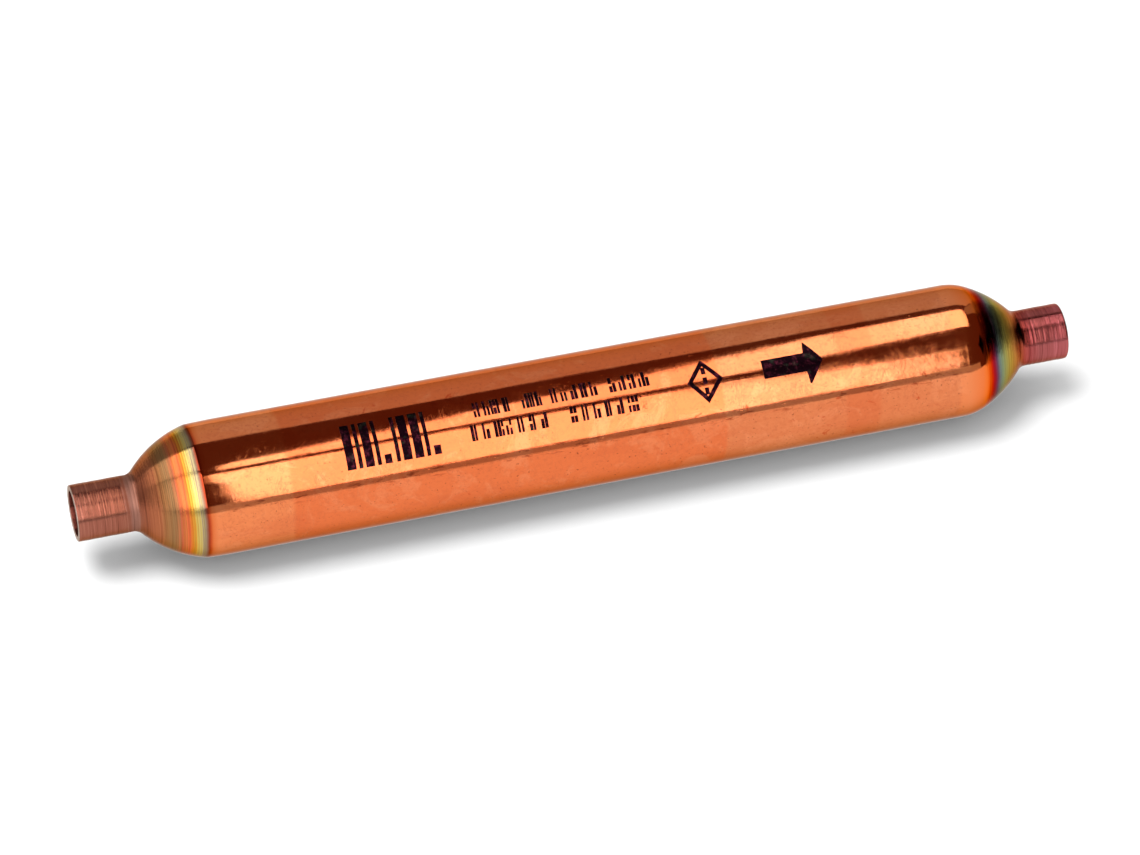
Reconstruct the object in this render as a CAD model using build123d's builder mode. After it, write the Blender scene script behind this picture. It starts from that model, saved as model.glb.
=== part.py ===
"""Refrigerant filter drier: a spun-copper shell holding two wire strainers and a bed of desiccant.

Frame: millimetres, +X along the flow from inlet to outlet, +Z up, origin on the axis
half-way between the two neck mouths. The drier lies on its side, its axis level.
"""

from build123d import *
from math import cos, radians, sin, sqrt, tan
import os

# Shell, drawn from 19 mm tube and spun down to a brazing neck at each end
overall_length = 144.0
body_radius = 9.5
body_wall = 0.75
neck_radius = 4.0
neck_bore_radius = 3.225  # takes 1/4 inch tube, 6.35 mm, with room for the filler metal
inlet_shoulder = -54.7
outlet_shoulder = 57.0
inlet_shoulder_angle = 13.0  # the inlet end leaves the body at a visible corner
outlet_shoulder_angle = 18.0
outlet_shoulder_blend = 8.0  # the outlet end rolls into the body
neck_angle = 48.0  # slope of the dome where it meets the neck blend
neck_blend = 1.8
mouth_chamfer = 0.15
corner_reach = 0.01  # a corner of the section counts as found within this distance

# Strainers: folded steel rings that clamp discs of wire cloth
ring_wall = 0.35
ring_lip = 0.3
ring_lip_reach = 1.25  # how far the lips reach in from the body bore
ring_seat_gap = 0.1  # from the end of the straight bore to the ring's edge
ring_band = 3.0
cloth_edge_gap = 0.1  # from the cloth's edge to the ring's band
clearance = 0.02
wire = 0.35
inlet_pitch = 1.4
outlet_pitch = 1.75
dome_height = 3.0
fine_cloth = 0.2
bed_wall_gap = 0.05

body_bore = body_radius - body_wall
ring_inside = body_bore - ring_wall
lip_radius = body_bore - ring_lip_reach
cloth_radius = ring_inside - cloth_edge_gap
wire_step = wire + clearance


def spun_end(shoulder, shoulder_angle, tube_radius, end_radius, blend, side):
    """Points of a spun end from the neck to the shoulder; side is -1 at the inlet, 1 at the outlet."""
    steep, shallow = radians(neck_angle), radians(shoulder_angle)
    blend_rise = blend * (1 - cos(steep))
    dome = (tube_radius - end_radius - blend_rise) / (cos(shallow) - cos(steep))
    middle = (steep + shallow) / 2

    def on_dome(angle):
        run = dome * (sin(angle) - sin(shallow))
        drop = dome * (cos(shallow) - cos(angle))
        return (shoulder + side * run, tube_radius - drop)

    blend_end = on_dome(steep)
    blend_start = (blend_end[0] + side * blend * sin(steep), end_radius)
    half = steep / 2
    blend_middle = (
        blend_start[0] - side * blend * sin(half),
        end_radius + blend * (1 - cos(half)),
    )
    return blend_start, blend_middle, blend_end, on_dome(middle), on_dome(shallow)


def shell_side(tube_radius, end_radius, blend):
    """One side of the shell's section, mouth to mouth, as edges of the current line."""
    inlet = spun_end(inlet_shoulder, inlet_shoulder_angle, tube_radius, end_radius, blend, -1)
    outlet = spun_end(outlet_shoulder, outlet_shoulder_angle, tube_radius, end_radius, blend, 1)
    inlet_mouth = (-overall_length / 2, end_radius)
    outlet_mouth = (overall_length / 2, end_radius)
    Line(inlet_mouth, inlet[0])
    ThreePointArc(*inlet[0:3])
    ThreePointArc(*inlet[2:5])
    Line(inlet[4], outlet[4])
    ThreePointArc(*reversed(outlet[2:5]))
    ThreePointArc(*reversed(outlet[0:3]))
    Line(outlet[0], outlet_mouth)
    return inlet_mouth, outlet_mouth


# Shell: one piece of copper, revolved about the flow axis
with BuildPart() as shell:
    with BuildSketch(Plane.XY):
        with BuildLine():
            outer_mouths = shell_side(body_radius, neck_radius, neck_blend)
            neck_wall = neck_radius - neck_bore_radius
            inner_mouths = shell_side(body_bore, neck_bore_radius, neck_blend + neck_wall)
            for outer_mouth, inner_mouth in zip(outer_mouths, inner_mouths):
                Line(outer_mouth, inner_mouth)
        section = make_face()
        mouths = section.vertices().filter_by(lambda v: abs(v.X) > overall_length / 2 - corner_reach)
        chamfer(mouths, mouth_chamfer)
        rolled = section.vertices().filter_by(lambda v: abs(v.X - outlet_shoulder) < corner_reach)
        fillet(rolled, outlet_shoulder_blend)
    revolve(axis=Axis.X)
shell.part.label = "shell"


# Inlet strainer: a flat disc of coarse woven wire in a folded ring
inlet_ring_start = inlet_shoulder + ring_seat_gap
inlet_ring_end = inlet_ring_start + ring_band
inlet_cloth_end = inlet_ring_end - ring_lip
inlet_cloth_start = inlet_cloth_end - 2 * wire_step - clearance

with BuildPart() as inlet_ring:
    with BuildSketch(Plane.XY):
        with BuildLine():
            Polyline(
                (inlet_ring_start, body_bore),
                (inlet_ring_end, body_bore),
                (inlet_ring_end, lip_radius),
                (inlet_cloth_end, lip_radius),
                (inlet_cloth_end, ring_inside),
                (inlet_cloth_start, ring_inside),
                (inlet_cloth_start, lip_radius),
                (inlet_cloth_start - ring_lip, lip_radius),
                (inlet_cloth_start - ring_lip, ring_inside),
                (inlet_ring_start, ring_inside),
                close=True,
            )
        make_face()
    revolve(axis=Axis.X)
inlet_ring.part.label = "inlet_screen_ring"


def wire_offsets(pitch):
    """Distances from the axis of the parallel wires that fit inside the cloth's edge."""
    count = int((cloth_radius - wire) / pitch)
    return [pitch * i for i in range(-count, count + 1)]


inlet_warp_x = inlet_cloth_start + clearance + wire / 2
inlet_weft_x = inlet_warp_x + wire_step

with BuildPart() as inlet_warp:
    for y in wire_offsets(inlet_pitch):
        span = sqrt((cloth_radius - wire) ** 2 - y**2)
        with BuildSketch(Plane((inlet_warp_x, y, 0))):
            Circle(wire / 2)
        extrude(amount=span, both=True)
inlet_warp.part.label = "inlet_screen_warp_wires"

with BuildPart() as inlet_weft:
    for z in wire_offsets(inlet_pitch):
        span = sqrt((cloth_radius - wire) ** 2 - z**2)
        with BuildSketch(Plane((inlet_weft_x, 0, z), z_dir=(0, 1, 0))):
            Circle(wire / 2)
        extrude(amount=span, both=True)
inlet_weft.part.label = "inlet_screen_weft_wires"


# Outlet strainer: fine cloth backed by coarse cloth, both pressed to a shallow dome
roll_start = outlet_shoulder - outlet_shoulder_blend * tan(radians(outlet_shoulder_angle / 2))
outlet_ring_end = roll_start - ring_seat_gap
outlet_ring_start = outlet_ring_end - ring_band
dome_radius = (cloth_radius**2 + dome_height**2) / (2 * dome_height)
lip_inner_dome = dome_radius - clearance
warp_dome = dome_radius + fine_cloth + clearance + wire / 2
weft_dome = warp_dome + wire_step
lip_outer_dome = weft_dome + wire / 2 + clearance
dome_centre = outlet_ring_start - sqrt((lip_inner_dome - ring_lip) ** 2 - body_bore**2)


def dome_point(radius, height):
    """The point of a dome of that radius that lies at that height above the axis."""
    return (dome_centre + sqrt(radius**2 - height**2), height)


def dome_band(inner, outer, low, high):
    """Outline between two concentric domes and two heights, as edges of the current line."""
    for radius in (inner, outer):
        middle = dome_point(radius, (low + high) / 2)
        ThreePointArc(dome_point(radius, low), middle, dome_point(radius, high))
    for height in (low, high):
        Line(dome_point(inner, height), dome_point(outer, height))


with BuildPart() as outlet_ring:
    with BuildSketch(Plane.XY):
        with BuildLine():
            dome_band(lip_inner_dome - ring_lip, lip_inner_dome, lip_radius, body_bore)
        make_face()
        with BuildLine():
            dome_band(lip_outer_dome, lip_outer_dome + ring_lip, lip_radius, body_bore)
        make_face()
        band_start = dome_point(lip_inner_dome - ring_lip, ring_inside)[0]
        with BuildLine():
            Polyline(
                (outlet_ring_start, body_bore),
                (band_start, ring_inside),
                (outlet_ring_end, ring_inside),
                (outlet_ring_end, body_bore),
                close=True,
            )
        make_face()
    revolve(axis=Axis.X)
outlet_ring.part.label = "outlet_screen_ring"

with BuildPart() as outlet_fine:
    with BuildSketch(Plane.XY):
        with BuildLine():
            dome_band(dome_radius, dome_radius + fine_cloth, 0, cloth_radius)
        make_face()
    revolve(axis=Axis.X)
outlet_fine.part.label = "outlet_fine_screen"


def domed_wire(dome, offset):
    """X at the ends and at the middle of a wire that lies on a dome, and its half span."""
    bend = sqrt(dome**2 - offset**2)
    half_span = sqrt((cloth_radius - wire) ** 2 - offset**2)
    return dome_centre + sqrt(bend**2 - half_span**2), dome_centre + bend, half_span


with BuildPart() as outlet_warp:
    for y in wire_offsets(outlet_pitch):
        end_x, middle_x, span = domed_wire(warp_dome, y)
        with BuildLine() as bent:
            ThreePointArc((end_x, y, -span), (middle_x, y, 0), (end_x, y, span))
        with BuildSketch(Plane(origin=bent.line @ 0, z_dir=bent.line % 0)):
            Circle(wire / 2)
        sweep()
outlet_warp.part.label = "outlet_support_warp_wires"

with BuildPart() as outlet_weft:
    for z in wire_offsets(outlet_pitch):
        end_x, middle_x, span = domed_wire(weft_dome, z)
        with BuildLine() as bent:
            ThreePointArc((end_x, -span, z), (middle_x, 0, z), (end_x, span, z))
        with BuildSketch(Plane(origin=bent.line @ 0, z_dir=bent.line % 0)):
            Circle(wire / 2)
        sweep()
outlet_weft.part.label = "outlet_support_weft_wires"


# Desiccant bed: fills the bore between the strainers and follows the domed cloth
bed_radius = body_bore - bed_wall_gap
bed_start = inlet_ring_end + clearance
bed_shoulder = outlet_ring_start - clearance
bed_dome = dome_radius - clearance
bed_nose_radius = lip_radius - clearance

with BuildPart() as bed:
    with BuildSketch(Plane.XY):
        with BuildLine():
            nose_edge = dome_point(bed_dome, bed_nose_radius)
            Polyline(
                (bed_start, 0),
                (bed_start, bed_radius),
                (bed_shoulder, bed_radius),
                (bed_shoulder, bed_nose_radius),
                nose_edge,
            )
            nose_middle = dome_point(bed_dome, bed_nose_radius / 2)
            nose_tip = dome_point(bed_dome, 0)
            ThreePointArc(nose_edge, nose_middle, nose_tip)
            Line(nose_tip, (bed_start, 0))
        make_face()
    revolve(axis=Axis.X)
bed.part.label = "desiccant_bed"


os.makedirs("parts", exist_ok=True)
pieces = [
    shell,
    inlet_ring,
    inlet_warp,
    inlet_weft,
    outlet_ring,
    outlet_fine,
    outlet_warp,
    outlet_weft,
    bed,
]
for piece in pieces:
    export_step(piece.part, f"parts/{piece.part.label}.step")

bulk_density = 0.79e-3  # grams per cubic millimetre of loose beads
copper_density = 8.94e-3
print(f"desiccant charge {bed.part.volume * bulk_density:.1f} g")
print(f"shell {shell.part.volume * copper_density:.1f} g")
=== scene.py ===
from math import cos, pi, radians, sin, sqrt, tan
from random import Random

import bmesh
import bpy
import numpy as np
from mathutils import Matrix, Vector, noise


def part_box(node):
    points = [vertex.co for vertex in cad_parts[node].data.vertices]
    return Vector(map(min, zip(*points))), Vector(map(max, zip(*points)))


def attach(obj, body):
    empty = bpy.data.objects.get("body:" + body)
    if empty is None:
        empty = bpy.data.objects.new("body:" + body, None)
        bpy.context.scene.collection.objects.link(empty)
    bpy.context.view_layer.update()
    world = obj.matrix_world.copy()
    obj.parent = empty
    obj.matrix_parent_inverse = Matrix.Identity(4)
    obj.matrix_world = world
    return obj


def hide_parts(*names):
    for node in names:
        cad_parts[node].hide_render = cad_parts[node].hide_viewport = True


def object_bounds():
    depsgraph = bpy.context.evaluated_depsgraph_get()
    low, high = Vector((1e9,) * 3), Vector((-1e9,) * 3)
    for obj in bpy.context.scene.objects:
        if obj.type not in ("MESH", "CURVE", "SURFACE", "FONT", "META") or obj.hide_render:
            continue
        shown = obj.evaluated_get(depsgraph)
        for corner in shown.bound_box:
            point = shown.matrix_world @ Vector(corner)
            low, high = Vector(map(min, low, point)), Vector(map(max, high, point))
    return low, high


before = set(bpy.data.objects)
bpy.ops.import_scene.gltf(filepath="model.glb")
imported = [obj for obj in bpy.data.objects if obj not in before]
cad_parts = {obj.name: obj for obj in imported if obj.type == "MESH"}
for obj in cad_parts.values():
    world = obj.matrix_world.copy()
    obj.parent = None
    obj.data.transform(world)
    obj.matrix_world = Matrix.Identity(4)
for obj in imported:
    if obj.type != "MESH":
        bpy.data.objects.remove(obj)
cadLow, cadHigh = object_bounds()

mm = 0.001  # lengths in the settings are in millimetres, and the flow axis is X


# Camera, looking down at the side of the drier from a little to its left

cameraSet = {
    "azimuth": -15.5,
    "elevation": 42.0,
    "distance": 820.0,
    "lens": 184.1,
    "sensor": 36.0,
    "slideRight": -0.70,  # the drier sits a touch right of and above the frame's centre
    "slideUp": -0.98,
}


def makeCamera(settings):
    turn, lift = radians(settings["azimuth"]), radians(settings["elevation"])
    back = Vector((sin(turn) * cos(lift), -cos(turn) * cos(lift), sin(lift)))
    right = Vector((cos(turn), sin(turn), 0))
    up = back.cross(right)
    data = bpy.data.cameras.new("camera")
    data.lens, data.sensor_width = settings["lens"], settings["sensor"]
    data.clip_start, data.clip_end = 0.01, 20
    camera = bpy.data.objects.new("camera", data)
    aim = right * settings["slideRight"] + up * settings["slideUp"]
    camera.location = (aim + back * settings["distance"]) * mm
    camera.rotation_euler = back.to_track_quat("Z", "Y").to_euler()
    bpy.context.collection.objects.link(camera)
    bpy.context.scene.camera = camera


makeCamera(cameraSet)
print("camera placed")


# Shader maths: a wrapped socket, and one method for every node

class Wire:
    def __init__(self, finish, socket):
        self.finish, self.socket = finish, socket

    def maths(self, operation, *values):
        return self.finish.node("ShaderNodeMath", {"operation": operation}, dict(enumerate(values)))

    def __add__(self, other):
        return self.maths("ADD", self, other)

    def __sub__(self, other):
        return self.maths("SUBTRACT", self, other)

    def __rsub__(self, other):
        return self.maths("SUBTRACT", other, self)

    def __mul__(self, other):
        return self.maths("MULTIPLY", self, other)

    def __truediv__(self, other):
        return self.maths("DIVIDE", self, other)

    def __abs__(self):
        return self.maths("ABSOLUTE", self)

    __radd__, __rmul__ = __add__, __mul__

    def clamped(self):
        return self.finish.node("ShaderNodeClamp", {}, {"Value": self})

    def step(self, low, high):  # 0 below low, 1 above high, smooth between
        kind = {"interpolation_type": "SMOOTHSTEP"}
        return self.finish.node("ShaderNodeMapRange", kind, {"Value": self, 1: low, 2: high})

    def band(self, low, high, edge):  # 1 between low and high
        return self.step(low - edge, low + edge) * (1 - self.step(high - edge, high + edge))


class Finish:
    def __init__(self, name, **constants):
        self.material = bpy.data.materials.new(name)
        self.material.use_nodes = True
        self.tree = self.material.node_tree
        self.surface = self.tree.nodes["Principled BSDF"]
        for socket, value in constants.items():
            self.surface.inputs[socket.replace("_", " ")].default_value = value

    def node(self, kind, settings, sockets, output=0):
        made = self.tree.nodes.new(kind)
        for name, value in settings.items():
            if name == "stops":
                self.fillRamp(made.color_ramp, value)
            else:
                setattr(made, name, value)
        for name, value in sockets.items():
            self.feed(made.inputs[name], value)
        return Wire(self, made.outputs[output])

    def feed(self, socket, value):
        if isinstance(value, Wire):
            self.tree.links.new(value.socket, socket)
        elif isinstance(value, tuple) and len(value) == 3 and socket.type == "RGBA":
            socket.default_value = (*value, 1)
        else:
            socket.default_value = value

    def fillRamp(self, ramp, stops):
        while len(ramp.elements) < len(stops):
            ramp.elements.new(1)
        for element, (place, colour) in zip(ramp.elements, stops):
            element.position = place
            element.color = (*colour, 1)

    def mix(self, factor, first, second, blend="MIX"):
        kind = {"data_type": "RGBA", "blend_type": blend}
        return self.node("ShaderNodeMix", kind, {0: factor, 6: first, 7: second}, 2)

    def noise(self, where, scale, detail=2.0, roughness=0.5, distortion=0.0):
        values = {"Vector": where, "Scale": scale, "Detail": detail}
        values |= {"Roughness": roughness, "Distortion": distortion}
        return self.node("ShaderNodeTexNoise", {}, values)

    def vector(self, x, y, z):
        return self.node("ShaderNodeCombineXYZ", {}, {"X": x, "Y": y, "Z": z})

    def place(self):  # millimetres along X, Y and Z
        where = self.node("ShaderNodeTexCoord", {}, {}, "Object")
        scaled = self.node("ShaderNodeVectorMath", {"operation": "SCALE"}, {0: where, "Scale": 1 / mm})
        parts = [self.node("ShaderNodeSeparateXYZ", {}, {0: scaled}, axis) for axis in "XYZ"]
        return scaled, *parts

    def heading(self, y, z):  # the direction round the flow axis, as two parts of a unit vector
        away = self.node("ShaderNodeMath", {"operation": "SQRT"}, {0: y * y + z * z})
        return y / away, z / away

    def bump(self, height, strength, distance, normal=None):
        values = {"Height": height, "Strength": strength, "Distance": distance * mm}
        if normal:
            values["Normal"] = normal
        return self.node("ShaderNodeBump", {}, values)

    def set(self, **sockets):
        for name, value in sockets.items():
            self.feed(self.surface.inputs[name.replace("_", " ")], value)
        return self.material


def fromScreen(red, green, blue):  # a colour as seen on a screen, 0 to 255, as linear light
    parts = (part / 255 for part in (red, green, blue))
    return tuple(part / 12.92 if part < 0.04 else ((part + 0.055) / 1.055) ** 2.4 for part in parts)


# Mesh helpers

def makeObject(name, mesh, material, smooth=True):
    made = bpy.data.objects.new(name, mesh)
    bpy.context.collection.objects.link(made)
    mesh.materials.append(material)
    mesh.polygons.foreach_set("use_smooth", [smooth] * len(mesh.polygons))
    return made


def spin(name, rings, segments, place, material):
    # rings is the closed section, as items that place turns into a point for each angle
    vertices = [place(ring, 2 * pi * k / segments) for ring in rings for k in range(segments)]
    faces = []
    for i in range(len(rings)):
        here, there = i * segments, (i + 1) % len(rings) * segments
        for k in range(segments):
            turn = (k + 1) % segments
            faces.append((here + k, there + k, there + turn, here + turn))
    mesh = bpy.data.meshes.new(name)
    mesh.from_pydata(vertices, [], faces)
    return makeObject(name, mesh, material)


def steps(start, end, pitch):
    count = max(1, round(abs(end - start) / pitch))
    return [start + (end - start) * i / count for i in range(count)]


# Copper shell

shellSet = {
    "bodyRadius": 9.5,
    "bodyWall": 0.75,
    "neckRadius": 4.0,
    "neckBore": 3.225,
    "inletShoulder": -54.7,
    "inletAngle": 13.0,
    "inletBlend": 1.1,  # a tight corner where the inlet end leaves the body
    "outletShoulder": 57.0,
    "outletAngle": 18.0,
    "outletBlend": 8.0,  # the outlet end rolls in
    "neckAngle": 48.0,
    "neckBlend": 1.8,
    "mouthRound": 0.12,
    "segments": 156,
    "groove": 0.050,  # depth of the turning marks on the necks
    "domeGroove": 0.12,  # their share of it on the domes
    "grooveStart": (54.5, 56.5),  # distance from the middle where they fade in
    "burr": 0.35,  # unevenness of the rounding at the mouths
    "waviness": 0.012,
    "sink": 0.10,  # how far the tube draws in towards the inlet corner
    "sinkStart": -50.0,
}
halfLength = cadHigh.x / mm


class SpunSide:
    # radius of one surface, inside or outside, at any place along the axis
    def __init__(self, tube, neck, blend, shoulder, angle, roll, side):
        self.tube, self.neck, self.side = tube, neck, side
        steep, shallow = radians(shellSet["neckAngle"]), radians(angle)
        rise = blend * (1 - cos(steep))
        dome = (tube - neck - rise) / (cos(shallow) - cos(steep))
        self.dome, self.blend, self.roll = dome, blend, roll
        self.domeX = side * shoulder - dome * sin(shallow)  # measured outward along the axis
        self.domeR = tube - dome * cos(shallow)
        self.domeEnd = self.domeX + dome * sin(steep)
        self.neckX = self.domeEnd + blend * sin(steep)
        self.rollX = self.domeX + sqrt((dome - roll) ** 2 - (tube - roll - self.domeR) ** 2)
        share = dome / (dome - roll)
        self.rollEnd = self.domeX + (self.rollX - self.domeX) * share

    def radius(self, x):
        out = self.side * x
        if out <= self.rollX:
            return self.tube
        if out <= self.rollEnd:
            return self.tube - self.roll + sqrt(self.roll**2 - (out - self.rollX) ** 2)
        if out <= self.domeEnd:
            return self.domeR + sqrt(self.dome**2 - (out - self.domeX) ** 2)
        if out <= self.neckX:
            return self.neck + self.blend - sqrt(self.blend**2 - (self.neckX - out) ** 2)
        return self.neck


def spunSides(inner):
    s = shellSet
    wall = s["bodyWall"] if inner else 0
    tube = s["bodyRadius"] - wall
    neck = s["neckBore"] if inner else s["neckRadius"]
    blend = s["neckBlend"] + s["neckRadius"] - neck
    inlet = SpunSide(tube, neck, blend, s["inletShoulder"], s["inletAngle"], s["inletBlend"], -1)
    outlet = SpunSide(tube, neck, blend, s["outletShoulder"], s["outletAngle"], s["outletBlend"], 1)
    return inlet, outlet


outerInlet, outerOutlet = spunSides(False)
innerInlet, innerOutlet = spunSides(True)


def turningMarks(x, angle):
    # ridges left by the forming tool, nearly the same all the way round
    drift = 0.04 * noise.noise((x * 0.4, cos(angle), sin(angle)))
    fine = noise.noise((x * 3.4 + drift, 3.1, 0.10 * cos(angle)))
    coarse = noise.noise((x * 1.3 + drift, 7.7, 0.10 * sin(angle)))
    return shellSet["groove"] * (0.6 * fine + 0.5 * coarse)


def unevenness(x, angle):  # of the drawn tube
    return shellSet["waviness"] * noise.noise((x * 0.11, 1.6 * cos(angle), 1.6 * sin(angle)))


def smooth(low, high, value):
    share = min(max((value - low) / (high - low), 0), 1)
    return share * share * (3 - 2 * share)


def shellPoint(ring, angle):
    x, inner = ring
    inlet, outlet = (innerInlet, innerOutlet) if inner else (outerInlet, outerOutlet)
    radius = inlet.radius(x) if x < 0 else outlet.radius(x)
    if not inner:
        onNeck = smooth(outlet.domeEnd - 0.5, outlet.neckX + 0.5, abs(x) + (1.2 if x < 0 else 0))
        share = shellSet["domeGroove"] + (1 - shellSet["domeGroove"]) * onNeck
        radius += share * turningMarks(x, angle) * smooth(*shellSet["grooveStart"], abs(x))
        radius += unevenness(x, angle) * (1 - onNeck)
        if x < shellSet["sinkStart"]:
            share = (x - shellSet["sinkStart"]) / (shellSet["inletShoulder"] - shellSet["sinkStart"])
            radius -= shellSet["sink"] * min(share, 1) ** 2 * (1 - onNeck)
    edge, corner = halfLength - abs(x), shellSet["mouthRound"]
    if edge < corner:
        burr = 1 + shellSet["burr"] * noise.noise((4 * cos(angle), 4 * sin(angle), x))
        inset = (corner - sqrt(max(0, corner**2 - (corner - edge) ** 2))) * burr
        radius += inset if inner else -inset
    return (x * mm, -radius * cos(angle) * mm, radius * sin(angle) * mm)


def shellRings():
    corner = shellSet["mouthRound"]
    mouth = [halfLength - corner * (k / 4) ** 2 for k in range(5)]

    def run(inlet, outlet, neckPitch, domePitch, cornerPitch, bodyPitch, inner):
        places = [-x for x in mouth]
        places += steps(corner - halfLength, -inlet.neckX, neckPitch)[1:]
        places += steps(-inlet.neckX, -inlet.rollEnd, domePitch)
        places += steps(-inlet.rollEnd, 0.1 - inlet.rollX, cornerPitch)
        places += steps(0.1 - inlet.rollX, 4 - inlet.rollX, min(0.25, bodyPitch))
        places += steps(4 - inlet.rollX, outlet.rollX - 1, bodyPitch)
        places += steps(outlet.rollX - 1, outlet.neckX, domePitch)
        places += steps(outlet.neckX, halfLength - corner, neckPitch)
        places += mouth[::-1]
        return [(x, inner) for x in places]

    outside = run(outerInlet, outerOutlet, 0.075, 0.11, 0.04, 1.1, False)
    inside = run(innerInlet, innerOutlet, 0.5, 0.35, 0.35, 6, True)
    return outside + inside[::-1]


# Oxide colours, as distances in millimetres outward from each shoulder

bodyCopper = (229, 130, 80)
inletTints = [
    (-1.2, bodyCopper),
    (-0.5, (218, 112, 62)),
    (-0.2, (192, 78, 40)),
    (0.05, (150, 54, 30)),
    (0.3, (140, 96, 76)),
    (0.6, (160, 142, 112)),
    (0.9, (184, 164, 114)),
    (1.3, (204, 178, 98)),
    (1.8, (208, 152, 56)),
    (2.3, (212, 120, 44)),
    (2.7, (214, 100, 64)),
    (3.1, (204, 118, 62)),
    (3.5, (196, 94, 66)),
    (3.9, (170, 112, 72)),
    (4.5, (148, 110, 72)),
    (5.3, (156, 104, 64)),
    (6.2, (172, 102, 68)),
    (7.4, (158, 90, 62)),
    (8.3, (144, 82, 60)),
    (8.8, (148, 100, 84)),
    (9.5, (150, 105, 91)),
    (10.0, (146, 88, 70)),
    (11.5, (150, 88, 70)),
    (17.4, (152, 90, 74)),
]
outletTints = [
    (-1.5, bodyCopper),
    (0.4, (230, 118, 62)),
    (1.0, (234, 112, 44)),
    (1.5, (226, 84, 14)),
    (2.0, (186, 30, 8)),
    (2.5, (140, 20, 44)),
    (3.0, (100, 68, 92)),
    (3.5, (108, 124, 112)),
    (4.0, (132, 146, 106)),
    (4.6, (154, 148, 80)),
    (5.4, (172, 140, 62)),
    (6.4, (184, 122, 62)),
    (7.3, (184, 94, 56)),
    (8.2, (160, 66, 56)),
    (9.2, (150, 66, 64)),
    (10.6, (155, 80, 78)),
    (12.0, (158, 81, 80)),
    (13.2, (164, 83, 84)),
    (15.0, (172, 90, 90)),
]


# broad tones along the body: start, end, softness of the edge, share and colour
bodyTones = [
    (-42.6, 19.6, 0.4, 0.75, (222, 107, 60)),
    (19.6, 54.0, 0.3, 0.8, (217, 124, 79)),
    (37.2, 42.1, 0.4, 0.4, (214, 100, 56)),
]


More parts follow.
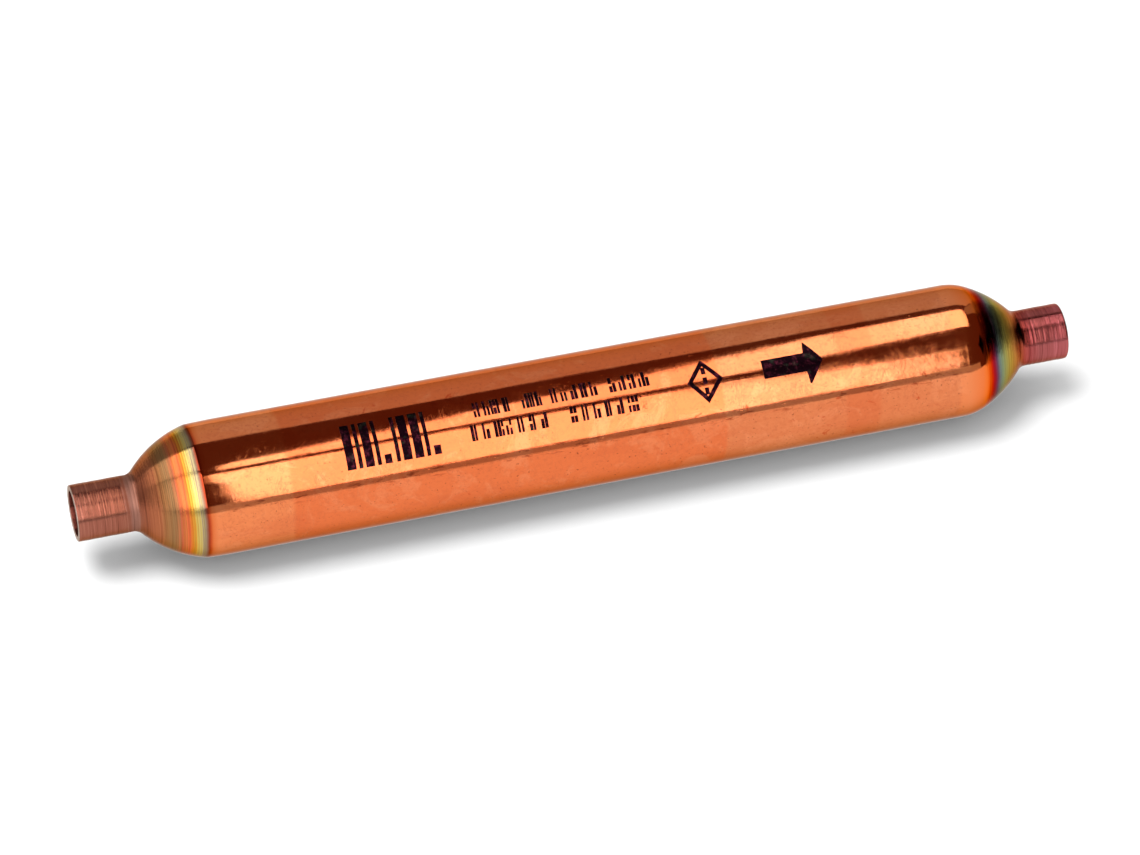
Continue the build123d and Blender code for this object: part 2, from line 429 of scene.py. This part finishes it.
def copperFinish():
    f = Finish("spun copper with heat tint", Metallic=1.0, Specular_Tint=(0.62, 0.50, 0.42, 1))
    x, y, z = f.place()[1:]
    aroundY, aroundZ = f.heading(y, z)

    # coordinates stretched round the tube or along it, without a seam underneath
    surface = f.vector(x, aroundY * 9.5, aroundZ * 9.5)
    turned = f.vector(x * 6.0, aroundY * 0.25, aroundZ * 0.25)
    drawn = f.vector(x * 0.10, aroundY * 34, aroundZ * 34)

    wander = f.noise(f.vector(x * 0.22, y * 0.2, z * 0.2), 1.0, 3.0) - 0.5
    rings = f.noise(turned, 1.0, 5.0, 0.7) - 0.5
    onInletDome = (x * -1).step(54.9, 55.6)
    onOutletDome = x.step(57.5, 61.0)

    def tints(stops, shoulder, side, ringed):
        out = (x * side - shoulder) + wander * 0.6 + rings * ringed
        span = stops[-1][0] - stops[0][0]
        places = [((d - stops[0][0]) / span, fromScreen(*c)) for d, c in stops]
        return f.node("ShaderNodeValToRGB", {"stops": places}, {"Fac": (out - stops[0][0]) / span})

    inletColour = tints(inletTints, -shellSet["inletShoulder"], -1, onInletDome * 2.2)
    outletColour = tints(outletTints, shellSet["outletShoulder"], 1, onOutletDome * 0.9)
    colour = f.mix(x.step(-5, 5), inletColour, outletColour)

    # broad bands of tone along the body, left by handling and heat
    onBody = x.band(-53.5, 55.0, 1.0)
    ragged = x + wander * 0.8
    for start, end, edge, share, tone in bodyTones:
        colour = f.mix(ragged.band(start, end, edge) * share, colour, fromScreen(*tone))
    clouds = f.noise(f.vector(x * 0.06, y * 0.25, z * 0.25), 1.0, 4.0, 0.65)
    colour = f.mix(clouds.step(0.46, 0.70) * onBody * 0.35, colour, fromScreen(206, 98, 58))
    patches = f.noise(surface, 0.16, 5.0, 0.7, 0.8).step(0.50, 0.62)
    colour = f.mix(patches * onBody * 0.28, colour, fromScreen(238, 150, 104))

    # fine mottling, fingerprints and thin scratches across the drawn surface
    mottle = f.noise(surface, 1.6, 5.0, 0.7, 0.4) * onBody
    colour = f.mix(mottle.step(0.45, 0.72) * 0.42, colour, fromScreen(196, 96, 60))
    whorl = f.noise(f.vector(x * 0.8, aroundY * 3, aroundZ * 3), 1.0, 3.0, 0.5, 3.0)
    hairs = 1 - (abs(whorl - 0.5) * 46).clamped()
    marked = f.noise(surface, 0.22, 2.0).step(0.52, 0.64)
    colour = f.mix(hairs * marked * onBody * 0.55, colour, fromScreen(190, 92, 62))

    # red-brown stains, mostly along the side, and small dark specks
    blots = f.noise(surface, 0.42, 4.0, 0.62, 0.6).step(0.64, 0.71)
    stained = f.noise(f.vector(x * 0.05, aroundY * 1.4, aroundZ * 1.4), 1.0, 2.0).step(0.42, 0.58)
    colour = f.mix(blots * stained * onBody * 0.65, colour, fromScreen(186, 56, 20))
    specks = f.noise(surface, 3.1, 1.0).step(0.72, 0.75)
    colour = f.mix(specks * onBody * 0.65, colour, fromScreen(96, 28, 12))
    along = aroundZ.band(0.31, 0.46, 0.05) * (1 - aroundY.step(-0.5, 0.5))
    drips = f.noise(f.vector(x * 0.35, aroundY * 14, aroundZ * 14), 1.0, 4.0, 0.65).step(0.55, 0.66)
    colour = f.mix(along * drips * onBody * 0.8, colour, fromScreen(150, 52, 24))

    # dark and bright turning lines round both ends, strongest on the necks
    onEnds = 1 - x.band(-55.0, 58.0, 0.4)
    onNecks = abs(x).step(62.5, 64.5)
    colour = f.mix(rings.step(0.02, 0.22) * onEnds * 0.5, colour, (0.55, 0.46, 0.42), "MULTIPLY")
    polished = f.noise(f.vector(x * 4.2, aroundY * 0.3, aroundZ * 0.3), 1.0, 3.0, 0.7)
    bright, dull = polished.step(0.52, 0.70), 1 - polished.step(0.30, 0.46)
    colour = f.mix(bright * onNecks * 0.7, colour, (1.45, 1.75, 1.80), "MULTIPLY")
    colour = f.mix(dull * onNecks * 0.7, colour, (0.45, 0.36, 0.34), "MULTIPLY")
    turnedLines = f.noise(f.vector(x * 5.5, aroundY * 0.4, aroundZ * 0.4), 1.0, 3.0, 0.6)
    onDomes = onEnds * (1 - onNecks)
    colour = f.mix(turnedLines.step(0.54, 0.62) * onDomes * 0.55, colour, (0.62, 0.52, 0.46), "MULTIPLY")
    colour = f.mix((1 - turnedLines.step(0.36, 0.44)) * onDomes * 0.4, colour, (1.25, 1.3, 1.3), "MULTIPLY")

    # bare cut metal at both mouths, and the bore in a dull brown oxide made darker still as painted shade
    # inside the neck
    cut = abs(x).step(halfLength - 0.10, halfLength - 0.04)
    radius = f.node("ShaderNodeMath", {"operation": "SQRT"}, {0: y * y + z * z})
    bore = (1 - radius.step(3.28, 3.36)) * abs(x).step(60, 62)
    # the bore's dark brown is partly oxide and partly painted shade
    colour = f.mix(bore, colour, fromScreen(116, 58, 48))
    colour = f.mix(cut, colour, fromScreen(176, 158, 148))

    # roughness: bright body, satin domes, dull necks and a matt collar where the inlet neck begins
    inletNeck = (x * -1).step(62.3, 64.0)
    outletNeck = x.step(61.8, 64.5)
    inletDome = (x * -1).step(57.0, 61.0)
    collar = (x * -1).band(63.5, 65.1, 0.4)
    smears = f.noise(f.vector(x * 0.25, aroundY * 3, aroundZ * 3), 1.0, 4.0, 0.6)
    rough = 0.065 + smears.step(0.4, 0.8) * 0.06 + mottle.step(0.5, 0.8) * 0.07
    rough = rough + inletDome * 0.04 + inletNeck * 0.09 + outletNeck * 0.12
    rough = rough + collar * 0.30 + rings * onEnds * 0.2 - polished * onNecks * 0.08 + cut * 0.1

    # fine scratches along the drawn body and turning lines round the ends
    scratches = f.noise(drawn, 1.0, 3.0, 0.7)
    dents = f.noise(surface, 0.35, 3.0, 0.55)
    lines = f.noise(f.vector(x * 8.0, aroundY * 0.08, aroundZ * 0.08), 1.0, 4.0, 0.7)
    nicks = f.noise(f.vector(x * 1.1, aroundY * 26, aroundZ * 26), 1.0, 2.0, 0.6).step(0.70, 0.78)
    normal = f.bump((scratches + mottle * 0.6) * onBody, 0.35, 0.012)
    normal = f.bump((dents - nicks * 0.35 - hairs * marked * 0.1) * onBody, 0.5, 0.02, normal)
    normal = f.bump(lines * onEnds, 0.9, 0.04, normal)
    return f.set(Base_Color=colour, Roughness=rough, Normal=normal)


shell = spin("copper_shell", shellRings(), shellSet["segments"], shellPoint, copperFinish())
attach(shell, "root")
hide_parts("shell")
print("copper shell made,", len(shell.data.polygons), "faces")


# Ink printed on the body: a flow arrow, a filter symbol and plain bars in place of any wording

inkSet = {
    "lift": 0.022,  # stands this far off the copper
    "sink": 0.006,
    "cell": 0.28,
    "ragged": 0.035,
    "arrow": {"tail": 25.8, "neck": 32.0, "nose": 34.6, "middle": 9.35, "shaft": 2.7, "head": 6.2},
    "symbol": {"middle": (17.4, 9.3), "half": (2.6, 3.2), "line": 0.62, "dashes": 3},
    "bars": {
        "start": -34.6,
        "low": 6.0,
        "high": 12.5,
        "widths": ((1.25, 0.55, 1.25, 0.55), (0.55, 1.25, 1.25, 0.55)),
        "space": 0.42,
        "dot": (0.1, 1.1, 1.3),  # left and right edge and height of the square dot
        "gap": 1.75,
    },
    "rows": [
        {"start": -15.7, "low": 10.1, "high": 12.35, "groups": (4, 2, 5, 4), "pitch": 1.42},
        {"start": -16.7, "low": 6.85, "high": 9.1, "groups": (7, 0, 6), "pitch": 1.67},
    ],
    "stroke": (0.34, 0.46),
    "strokePitch": 0.52,
    "splitShare": 0.42,  # height of each half of a split bar
    "halfShare": 0.6,  # height of a half bar
    "gap": 1.3,  # left between two groups
}


def rectangle(left, right, low, high):
    return [(left, low), (right, low), (right, high), (left, high)]


def arrowOutline(s):
    half, head = s["shaft"] / 2, s["head"] / 2
    low, high, middle = s["middle"] - half, s["middle"] + half, s["middle"]
    barb = s["neck"] + 0.2
    return [
        (s["tail"], low),
        (s["neck"], low),
        (barb, middle - head),
        (barb + 0.25, middle - head),
        (s["nose"], middle),
        (barb + 0.1, middle + head),
        (s["neck"], high),
        (s["tail"], high),
    ]


def symbolOutlines(s):
    (x, w), (halfX, halfW), line = s["middle"], s["half"], s["line"]
    outer = [(x - halfX, w), (x, w - halfW), (x + halfX, w), (x, w + halfW)]
    share = 1 - line * 1.3 / min(halfX, halfW)
    inner = [(x + (a - x) * share, w + (b - w) * share) for a, b in outer]
    shapes = []
    for k in range(4):
        after = (k + 1) % 4
        shapes.append([outer[k], outer[after], inner[after], inner[k]])
    pitch = 2 * halfW * share / s["dashes"]
    for k in range(s["dashes"]):
        low = w - halfW * share + pitch * (k + 0.16)
        shapes.append(rectangle(x - line / 2, x + line / 2, low, low + pitch * 0.68))
    return shapes


def tallBars(s):
    # two groups of plain upright bars with a square dot after each
    low, high, x, shapes = s["low"], s["high"], s["start"], []
    dotLeft, dotRight, dotHeight = s["dot"]
    for widths in s["widths"]:
        for width in widths:
            shapes.append(rectangle(x, x + width, low, high))
            x += width + s["space"]
        shapes.append(rectangle(x + dotLeft, x + dotRight, low, low + dotHeight))
        x += s["gap"]
    return shapes


def smallBars(row, rng):
    # short strokes in groups: whole bars, split bars and half bars
    low, high, x, shapes = row["low"], row["high"], row["start"], []
    height = high - low
    for group in row["groups"]:
        for _ in range(group):
            left = x
            for _ in range(rng.choice((2, 2, 3))):
                right = left + rng.choice(inkSet["stroke"])
                kind = rng.randrange(5)
                if kind < 3:
                    shapes.append(rectangle(left, right, low, high))
                elif kind == 3:
                    split = height * inkSet["splitShare"]
                    shapes.append(rectangle(left, right, low, low + split))
                    shapes.append(rectangle(left, right, high - split, high))
                else:
                    shapes.append(rectangle(left, right, low, low + height * inkSet["halfShare"]))
                left += inkSet["strokePitch"]
            x += row["pitch"]
        x += inkSet["gap"]
    return shapes


def inkFinish():
    f = Finish("printed ink", Metallic=1.0)
    where = f.place()[0]
    thin = f.noise(where, 1.3, 4.0, 0.65)
    grain = f.noise(where, 7.0, 2.0)
    colour = f.mix(thin.step(0.48, 0.80), fromScreen(20, 6, 12), fromScreen(92, 34, 50))
    greenish = f.noise(where, 0.9, 2.0).step(0.55, 0.72)
    colour = f.mix(greenish * 0.4, colour, fromScreen(44, 56, 44))
    rough = 0.20 + grain * 0.16
    return f.set(Base_Color=colour, Roughness=rough, Normal=f.bump(grain, 0.35, 0.01))


def wrapInk(name, outlines, material):
    settings = inkSet
    made = bmesh.new()
    for outline in outlines:
        made.faces.new([made.verts.new((x, w, 0)) for x, w in outline])
    for axis in (0, 1):
        values = [vertex.co[axis] for vertex in made.verts]
        normal = Vector((axis == 0, axis == 1, 0))
        for cut in steps(min(values), max(values), settings["cell"])[1:]:
            everything = made.verts[:] + made.edges[:] + made.faces[:]
            bmesh.ops.bisect_plane(made, geom=everything, plane_co=normal * cut, plane_no=normal)
    bmesh.ops.triangulate(made, faces=made.faces[:])
    bmesh.ops.recalc_face_normals(made, faces=made.faces[:])
    for vertex in made.verts:
        if vertex.is_boundary:
            x, w, _ = vertex.co
            vertex.co.x += settings["ragged"] * noise.noise((x * 2.1, w * 2.1, 1.0))
            vertex.co.y += settings["ragged"] * noise.noise((x * 2.1, w * 2.1, 9.0))
    top = made.faces[:]
    thick = bmesh.ops.extrude_face_region(made, geom=top, use_keep_orig=True)
    raised = {item for item in thick["geom"] if isinstance(item, bmesh.types.BMVert)}
    body = shellSet["bodyRadius"]
    for vertex in made.verts:
        x, w, _ = vertex.co
        radius = body + unevenness(x, w / body)
        radius += settings["lift"] if vertex in raised else -settings["sink"]
        vertex.co = Vector((x, -radius * cos(w / body), radius * sin(w / body))) * mm
    bmesh.ops.recalc_face_normals(made, faces=made.faces[:])
    mesh = bpy.data.meshes.new(name)
    made.to_mesh(mesh)
    made.free()
    piece = makeObject(name, mesh, material, smooth=False)
    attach(piece, "root")
    return piece


inkMaterial = inkFinish()
rng = Random(7)
wrapInk("ink_arrow", [arrowOutline(inkSet["arrow"])], inkMaterial)
wrapInk("ink_filter_symbol", symbolOutlines(inkSet["symbol"]), inkMaterial)
wrapInk("ink_tall_bars", tallBars(inkSet["bars"]), inkMaterial)
for number, row in enumerate(inkSet["rows"], 1):
    wrapInk(f"ink_small_bars_{number}", smallBars(row, rng), inkMaterial)
print("ink printed")


# Strainers: crimped wires woven over and under each other, rings and fine cloth

screenSet = {
    "wire": 0.35,
    "crimp": 0.18,  # how far each wire swings to either side of the cloth
    "edge": 7.95,  # the wires end this far from the axis
    "sides": 8,
    "along": 8,  # rings of points from one crossing to the next
}
inletCloth = {"pitch": 1.4, "count": 5, "bulge": None}
outletCloth = {"pitch": 1.75, "count": 4, "bulge": 13.56}


def steelFinish(name, colour, roughness):
    f = Finish(name, Metallic=1.0)
    where, x, y, z = f.place()
    cloud = f.noise(where, 0.5, 3.0)
    grain = f.noise(f.vector(x * 9, y * 1.2, z * 1.2), 1.0, 4.0, 0.7)
    spots = f.noise(where, 2.4, 2.0).step(0.68, 0.74)
    tone = f.mix(cloud, tuple(part * 0.86 for part in colour), colour)
    tone = f.mix(spots * 0.5, tone, (0.36, 0.31, 0.26))
    rough = roughness + grain * 0.16 + spots * 0.2
    return f.set(Base_Color=tone, Roughness=rough, Normal=f.bump(grain, 0.4, 0.01))


clothPitch = 0.25  # plain weave of about 100 mesh


def clothFinish():
    f = Finish("fine woven cloth", Metallic=1.0)
    where, _, y, z = f.place()
    across = f.node("ShaderNodeMath", {"operation": "SINE"}, {0: y * (2 * pi / clothPitch)})
    upward = f.node("ShaderNodeMath", {"operation": "SINE"}, {0: z * (2 * pi / clothPitch)})
    weave = across * upward * 0.5 + 0.5
    dust = f.noise(where, 0.8, 3.0).step(0.45, 0.7)
    # the dark parts of the weave pattern are painted shade in the gaps between the wires, the light parts
    # the wires themselves
    tone = f.mix(weave, (0.16, 0.155, 0.15), (0.60, 0.59, 0.57))
    tone = f.mix(dust * 0.35, tone, (0.62, 0.58, 0.50))
    return f.set(Base_Color=tone, Roughness=0.34 + dust * 0.3, Normal=f.bump(weave, 0.7, 0.06))


def weave(name, cloth, middle, alongZ, sign, material):
    # parallel wires on a flat cloth, or on one bulging to a sphere about a point on the axis
    s = screenSet
    radius, sides, bulge = s["wire"] / 2, s["sides"], cloth["bulge"]
    vertices, faces = [], []
    for i in range(-cloth["count"], cloth["count"] + 1):
        offset = i * cloth["pitch"]
        half = sqrt(s["edge"] ** 2 - offset**2)
        rings = round(2 * half / cloth["pitch"] * s["along"]) + 1
        start = len(vertices)
        for k in range(rings):
            run = -half + 2 * half * k / (rings - 1)
            swing = sign * s["crimp"] * cos(pi * (run / cloth["pitch"] + i))
            if bulge:
                reach = sqrt((bulge + swing) ** 2 - offset**2 - run**2)
                out = Vector((reach, offset, run)).normalized()
                centre = Vector((middle + reach, offset, run))
            else:
                out, centre = Vector((1, 0, 0)), Vector((middle + swing, offset, run))
            for turn in range(sides):
                side, lift = cos(2 * pi * turn / sides), sin(2 * pi * turn / sides)
                point = centre + out * (lift * radius) + Vector((0, side * radius, 0))
                x, y, z = point * mm
                vertices.append((x, y, z) if alongZ else (x, z, y))
        for k in range(rings - 1):
            here = start + k * sides
            for turn in range(sides):
                after = (turn + 1) % sides
                faces.append((here + turn, here + after, here + sides + after, here + sides + turn))
        faces.append(tuple(range(start, start + sides)))
        faces.append(tuple(range(len(vertices) - 1, len(vertices) - 1 - sides, -1)))
    if not alongZ:
        faces = [face[::-1] for face in faces]
    mesh = bpy.data.meshes.new(name)
    mesh.from_pydata(vertices, [], faces)
    return makeObject(name, mesh, material)


wireFinish = steelFinish("drawn wire", (0.62, 0.61, 0.59), 0.22)
for end, cloth in (("inlet_screen", inletCloth), ("outlet_support", outletCloth)):
    warpLow, warpHigh = (corner.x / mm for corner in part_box(f"{end}_warp_wires"))
    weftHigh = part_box(f"{end}_weft_wires")[1].x / mm
    if cloth["bulge"]:
        middle = (warpHigh + weftHigh - screenSet["wire"]) / 2 - cloth["bulge"]
    else:
        middle = (warpLow + weftHigh) / 2
    for kind, alongZ, sign in (("warp", True, 1), ("weft", False, -1)):
        node = f"{end}_{kind}_wires"
        woven = weave(node + "_woven", cloth, middle, alongZ, sign, wireFinish)
        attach(woven, "root")
        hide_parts(node)

ringFinish = steelFinish("pressed ring", (0.64, 0.63, 0.60), 0.30)
for node, finish in (
    ("inlet_screen_ring", ringFinish),
    ("outlet_screen_ring", ringFinish),
    ("outlet_fine_screen", clothFinish()),
):
    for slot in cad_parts[node].material_slots:
        slot.material = finish
print("strainers woven")


# Desiccant: loose beads, settled against each other and against the strainers

beadSet = {
    "count": 1900,
    "size": 2.42,
    "spread": 0.07,  # beads differ in size by this share
    "rounds": 500,
    "ease": 0.55,  # share of each push that a bead follows
    "reach": 70,  # how many neighbours along the axis each bead is tested against
    "seed": 11,
    "bore": 8.7,
    "lip": 7.48,
    "bulge": 12.96,  # radius of the cloth that closes the outlet end
}


def settleBeads(s, start, shoulder, crown):
    rng = np.random.default_rng(s["seed"])
    size = s["size"] * (1 + s["spread"] * (rng.random(s["count"]) - 0.5))
    turn = rng.random(s["count"]) * 2 * pi
    away = (s["bore"] - s["size"] / 2) * np.sqrt(rng.random(s["count"]))
    along = start + (shoulder - start) * rng.random(s["count"])
    place = np.stack([along, away * np.cos(turn), away * np.sin(turn)], 1)
    centre = crown - s["bulge"]
    for _ in range(s["rounds"]):
        order = np.argsort(place[:, 0])
        place, size = place[order], size[order]
        push = np.zeros_like(place)
        for shift in range(1, s["reach"]):
            apart = place[shift:] - place[:-shift]
            gap = np.maximum(np.linalg.norm(apart, axis=1), 1e-6)
            overlap = np.maximum((size[shift:] + size[:-shift]) / 2 - gap, 0) / gap
            push[shift:] += apart * overlap[:, None] / 2
            push[:-shift] -= apart * overlap[:, None] / 2
        place += push * s["ease"]
        away = np.hypot(place[:, 1], place[:, 2])
        place[:, 1:] *= np.minimum(1, (s["bore"] - size / 2) / np.maximum(away, 1e-6))[:, None]
        away = np.hypot(place[:, 1], place[:, 2])
        dome = centre + np.sqrt((s["bulge"] - size / 2) ** 2 - away**2)
        end = np.where(away < s["lip"] - size / 2, dome, np.minimum(shoulder - size / 2, dome))
        place[:, 0] = np.clip(place[:, 0], start + size / 2, end)
    return place, size


def beadFinish():
    f = Finish("zeolite beads", Specular_IOR_Level=0.35)
    where = f.place()[0]
    each = f.noise(where, 0.28, 0.0)
    clay = f.noise(where, 5.0, 4.0, 0.7)
    tone = f.mix(each.step(0.35, 0.65), fromScreen(205, 190, 160), fromScreen(228, 216, 192))
    tone = f.mix(clay.step(0.5, 0.8) * 0.5, tone, fromScreen(176, 158, 126))
    return f.set(Base_Color=tone, Roughness=0.62 + clay * 0.25, Normal=f.bump(clay, 0.5, 0.04))


def makeBeads(name, node, s):
    low, high = (corner.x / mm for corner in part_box(node))
    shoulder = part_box("outlet_screen_ring")[0].x / mm
    place, size = settleBeads(s, low, shoulder, high)
    ball = bmesh.new()
    bmesh.ops.create_icosphere(ball, subdivisions=2, radius=0.5)
    points = np.array([vertex.co for vertex in ball.verts])
    corners = np.array([[vertex.index for vertex in face.verts] for face in ball.faces])
    ball.free()
    vertices = (place[:, None] + points[None] * size[:, None, None]) * mm
    offsets = np.arange(len(place))[:, None, None] * len(points)
    faces = (corners[None] + offsets).reshape(-1, 3)
    mesh = bpy.data.meshes.new(name)
    mesh.from_pydata(vertices.reshape(-1, 3).tolist(), [], faces.tolist())
    beads = makeObject(name, mesh, beadFinish())
    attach(beads, "root")
    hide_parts(node)
    deepest = 0
    for k in range(1, s["reach"]):
        gap = np.linalg.norm(place[k:] - place[:-k], axis=1) - (size[k:] + size[:-k]) / 2
        deepest = max(deepest, -gap.min())
    print("beads settled, deepest overlap", round(float(deepest), 3), "mm")


makeBeads("desiccant_beads", "desiccant_bed", beadSet)


# Studio: a pale floor and soft panels, mirrored in the copper as bright and dark bands

studioSet = {
    "floorRadius": 3.0,
    "floorSides": 96,
    "floorTones": ((0.74, 0.74, 0.74), (0.78, 0.78, 0.78)),
    "shadowLift": 0.13,  # keeps the shadow from going too deep
    "surroundHeight": 2.5,
    "surroundGlow": 0.98,
    "frontTilt": 38.0,
    "frontDistance": 1.15,
    "overheadHeight": 0.9,
    "gloom": (0.11, 0.043, 0.026),
    "tableGlow": 1.05,
    "tableShare": 0.7,
    "tableLift": 0.0001,
    "key": {"strength": 2.7, "spread": 34.0, "from": (-0.34, 0.06, 1.0)},
    "fill": {"strength": 2.3, "spread": 120.0, "from": (0.0, -0.2, 1.0)},
}

# panel corners, as distance along X and elevation in degrees seen from the drier
frontPanels = {
    "frontFarLeft": {
        "glow": 1.95,
        "corners": [(-1.9, 3), (-1.0, 8), (-0.87, 8.8), (-0.87, 76.2), (-1.12, 77.8), (-1.9, 82.5)],
    },
    "frontLeft": {
        "glow": 2.95,
        "corners": [
            (-0.87, 8.8), (-0.6, 10.5), (-0.15, 10.5), (-0.15, 68), (-0.3, 71), (-0.65, 74.8),
            (-0.87, 76.2),
        ],
    },
    "frontRight": {
        "glow": 2.95,
        "corners": [
            (0.127, 11), (0.39, 11), (0.383, 21), (0.368, 30), (0.3625, 31), (0.3597, 46.4), (0.3572, 46.4),
            (0.3508, 41.6), (0.3473, 44.4), (0.3416, 43), (0.3374, 44.1), (0.3335, 45.9), (0.330, 47.6),
            (0.326, 48.7), (0.323, 50.5), (0.313, 53), (0.307, 59.7), (0.281, 62), (0.20, 64.3),
            (0.02, 64.3), (0.02, 52), (0.07, 47), (0.08, 31.5), (0.10, 20),
        ],
    },
}
overheadPanels = {
    "overheadFarLeft": {
        "glow": 1.8,
        "corners": [
            (-1.5, 93), (-1.04, 86), (-0.69, 80.8), (-0.56, 79.2), (-0.56, 125.2), (-0.75, 129),
            (-1.03, 137), (-1.5, 148),
        ],
    },
    "overheadLeft": {
        "glow": 2.7,
        "corners": [
            (-0.56, 79.2), (-0.43, 77.6), (-0.2, 74), (-0.2, 122), (-0.30, 124), (-0.55, 125),
            (-0.56, 125.2),
        ],
    },
    "overheadRight": {
        "glow": 2.6,
        "corners": [
            (0.045, 70.2), (0.242, 70.2), (0.266, 74.5), (0.281, 76.5), (0.298, 80.0), (0.31, 80.5),
            (0.5, 80.5), (0.5, 115), (0.302, 115), (0.281, 113.2), (0.2405, 106.6), (0.208, 98.4),
            (0.1435, 88.9), (0.107, 81.5), (0.079, 79.1), (0.045, 76),
        ],
    },
}
walls = {  # upright panels, their corners as distance across and height above the table
    "leftWall": {"glow": 0.6, "x": -1.95, "corners": [(-1.2, 0), (1.4, 0), (1.4, 2.21), (-1.2, 2.21)]},
    "rearLeft": {"glow": 0.36, "y": 1.2, "corners": [(-1.9, 0), (0, 0), (0, 1.63), (-1.9, 1.63)]},
    "rearRight": {"glow": 0.62, "y": 1.2, "corners": [(0, 0), (1.25, 0), (1.25, 1.63), (0, 1.63)]},
    "frontEdge": {"glow": 0.5, "y": -1.3, "corners": [(-1.5, 0), (1.0, 0), (1.0, 0.28), (-1.5, 0.28)]},
    "rightFlag": {
        "glow": 0,
        "x": 1.3,
        "corners": [(-1.1, 0.03), (1.19, 0.03), (1.19, 1.0), (0.6, 1.0), (0.6, 1.1), (-1.1, 1.1)],
    },
    "rightRear": {
        "glow": 0.36,
        "x": 1.29,
        "corners": [(0.6, 1.05), (0.95, 0.73), (1.19, 0.73), (1.19, 2.2), (0.6, 2.2)],
    },
}


def glow(name, strength):
    f = Finish(name, Base_Color=(0, 0, 0, 1), Roughness=1.0, Specular_IOR_Level=0.0)
    return f.set(Emission_Color=(1, 1, 1), Emission_Strength=strength)


def flat(name, corners, material):
    mesh = bpy.data.meshes.new(name)
    mesh.from_pydata([tuple(corner) for corner in corners], [], [range(len(corners))])
    made = makeObject(name, mesh, material, smooth=False)
    return made


def panel(name, corners, strength):  # only the copper mirrors it
    made = flat(name, corners, glow(name, strength))
    made.visible_camera = made.visible_diffuse = made.visible_shadow = False
    return made


def addSun(name, settings):  # lights the table but isn't mirrored
    data = bpy.data.lights.new(name, "SUN")
    data.energy, data.angle = settings["strength"], radians(settings["spread"])
    lamp = bpy.data.objects.new(name, data)
    lamp.rotation_euler = Vector(settings["from"]).to_track_quat("Z", "Y").to_euler()
    lamp.visible_glossy = lamp.visible_camera = False
    bpy.context.collection.objects.link(lamp)


def onFront(x, elevation):  # on the tilted plane in front of the drier
    tilt, away = radians(studioSet["frontTilt"]), studioSet["frontDistance"]
    rise = away * tan(radians(elevation) - tilt)
    return (x, -away * cos(tilt) + rise * sin(tilt), away * sin(tilt) + rise * cos(tilt))


def overhead(x, elevation):
    height = studioSet["overheadHeight"]
    return (x, -height / tan(radians(elevation)), height)


def upright(wall, level):
    if "x" in wall:
        return [(wall["x"], across, level + rise) for across, rise in wall["corners"]]
    return [(across, wall["y"], level + rise) for across, rise in wall["corners"]]


def makeStudio(s):
    level, sides = cadLow.z, s["floorSides"]
    pale = Finish("pale table", Roughness=0.85)
    mottle = pale.noise(pale.place()[0], 0.05, 3.0)
    pale.set(Base_Color=pale.mix(mottle, *s["floorTones"]))
    pale.set(Emission_Color=(1, 1, 1), Emission_Strength=s["shadowLift"])
    circle = [2 * pi * k / sides for k in range(sides)]
    ring = [(s["floorRadius"] * cos(turn), s["floorRadius"] * sin(turn)) for turn in circle]
    flat("floor", [(x, y, level) for x, y in ring], pale.material)

    for name, item in frontPanels.items():
        panel(name, [onFront(*corner) for corner in item["corners"]], item["glow"])
    for name, item in overheadPanels.items():
        panel(name, [overhead(*corner) for corner in item["corners"]], item["glow"])
    for name, wall in walls.items():
        panel(name, upright(wall, level), wall["glow"])

    # the table's mirror image in the copper is lighter than its shadowed surface
    mirrored = panel("tableGlow", [(x, y, level + s["tableLift"]) for x, y in ring], s["tableGlow"])
    tree = mirrored.active_material.node_tree
    clear, blend = tree.nodes.new("ShaderNodeBsdfTransparent"), tree.nodes.new("ShaderNodeMixShader")
    blend.inputs[0].default_value = s["tableShare"]
    tree.links.new(clear.outputs[0], blend.inputs[1])
    tree.links.new(tree.nodes["Principled BSDF"].outputs[0], blend.inputs[2])
    tree.links.new(blend.outputs[0], tree.nodes["Material Output"].inputs["Surface"])

    # pale surround that only the camera sees, so that low views have a plain background
    surround = bpy.data.meshes.new("surround")
    points = [(x, y, height) for height in (level, s["surroundHeight"]) for x, y in ring]
    faces = []
    for k in range(sides):
        after = (k + 1) % sides
        faces.append((k, after, sides + after, sides + k))
    surround.from_pydata(points, [], faces)
    surround = makeObject("surround", surround, glow("surround", s["surroundGlow"]), smooth=False)
    surround.visible_glossy = surround.visible_diffuse = surround.visible_shadow = False

    addSun("key", s["key"])
    addSun("fill", s["fill"])

    world = bpy.data.worlds.new("studio")
    world.use_nodes = True
    world.node_tree.nodes["Background"].inputs["Color"].default_value = (*s["gloom"], 1)
    world.cycles_visibility.diffuse = False
    bpy.context.scene.world = world
    bpy.context.scene.cycles.caustics_reflective = False


makeStudio(studioSet)
bpy.context.scene.view_settings.view_transform = "Standard"
print("studio lit")
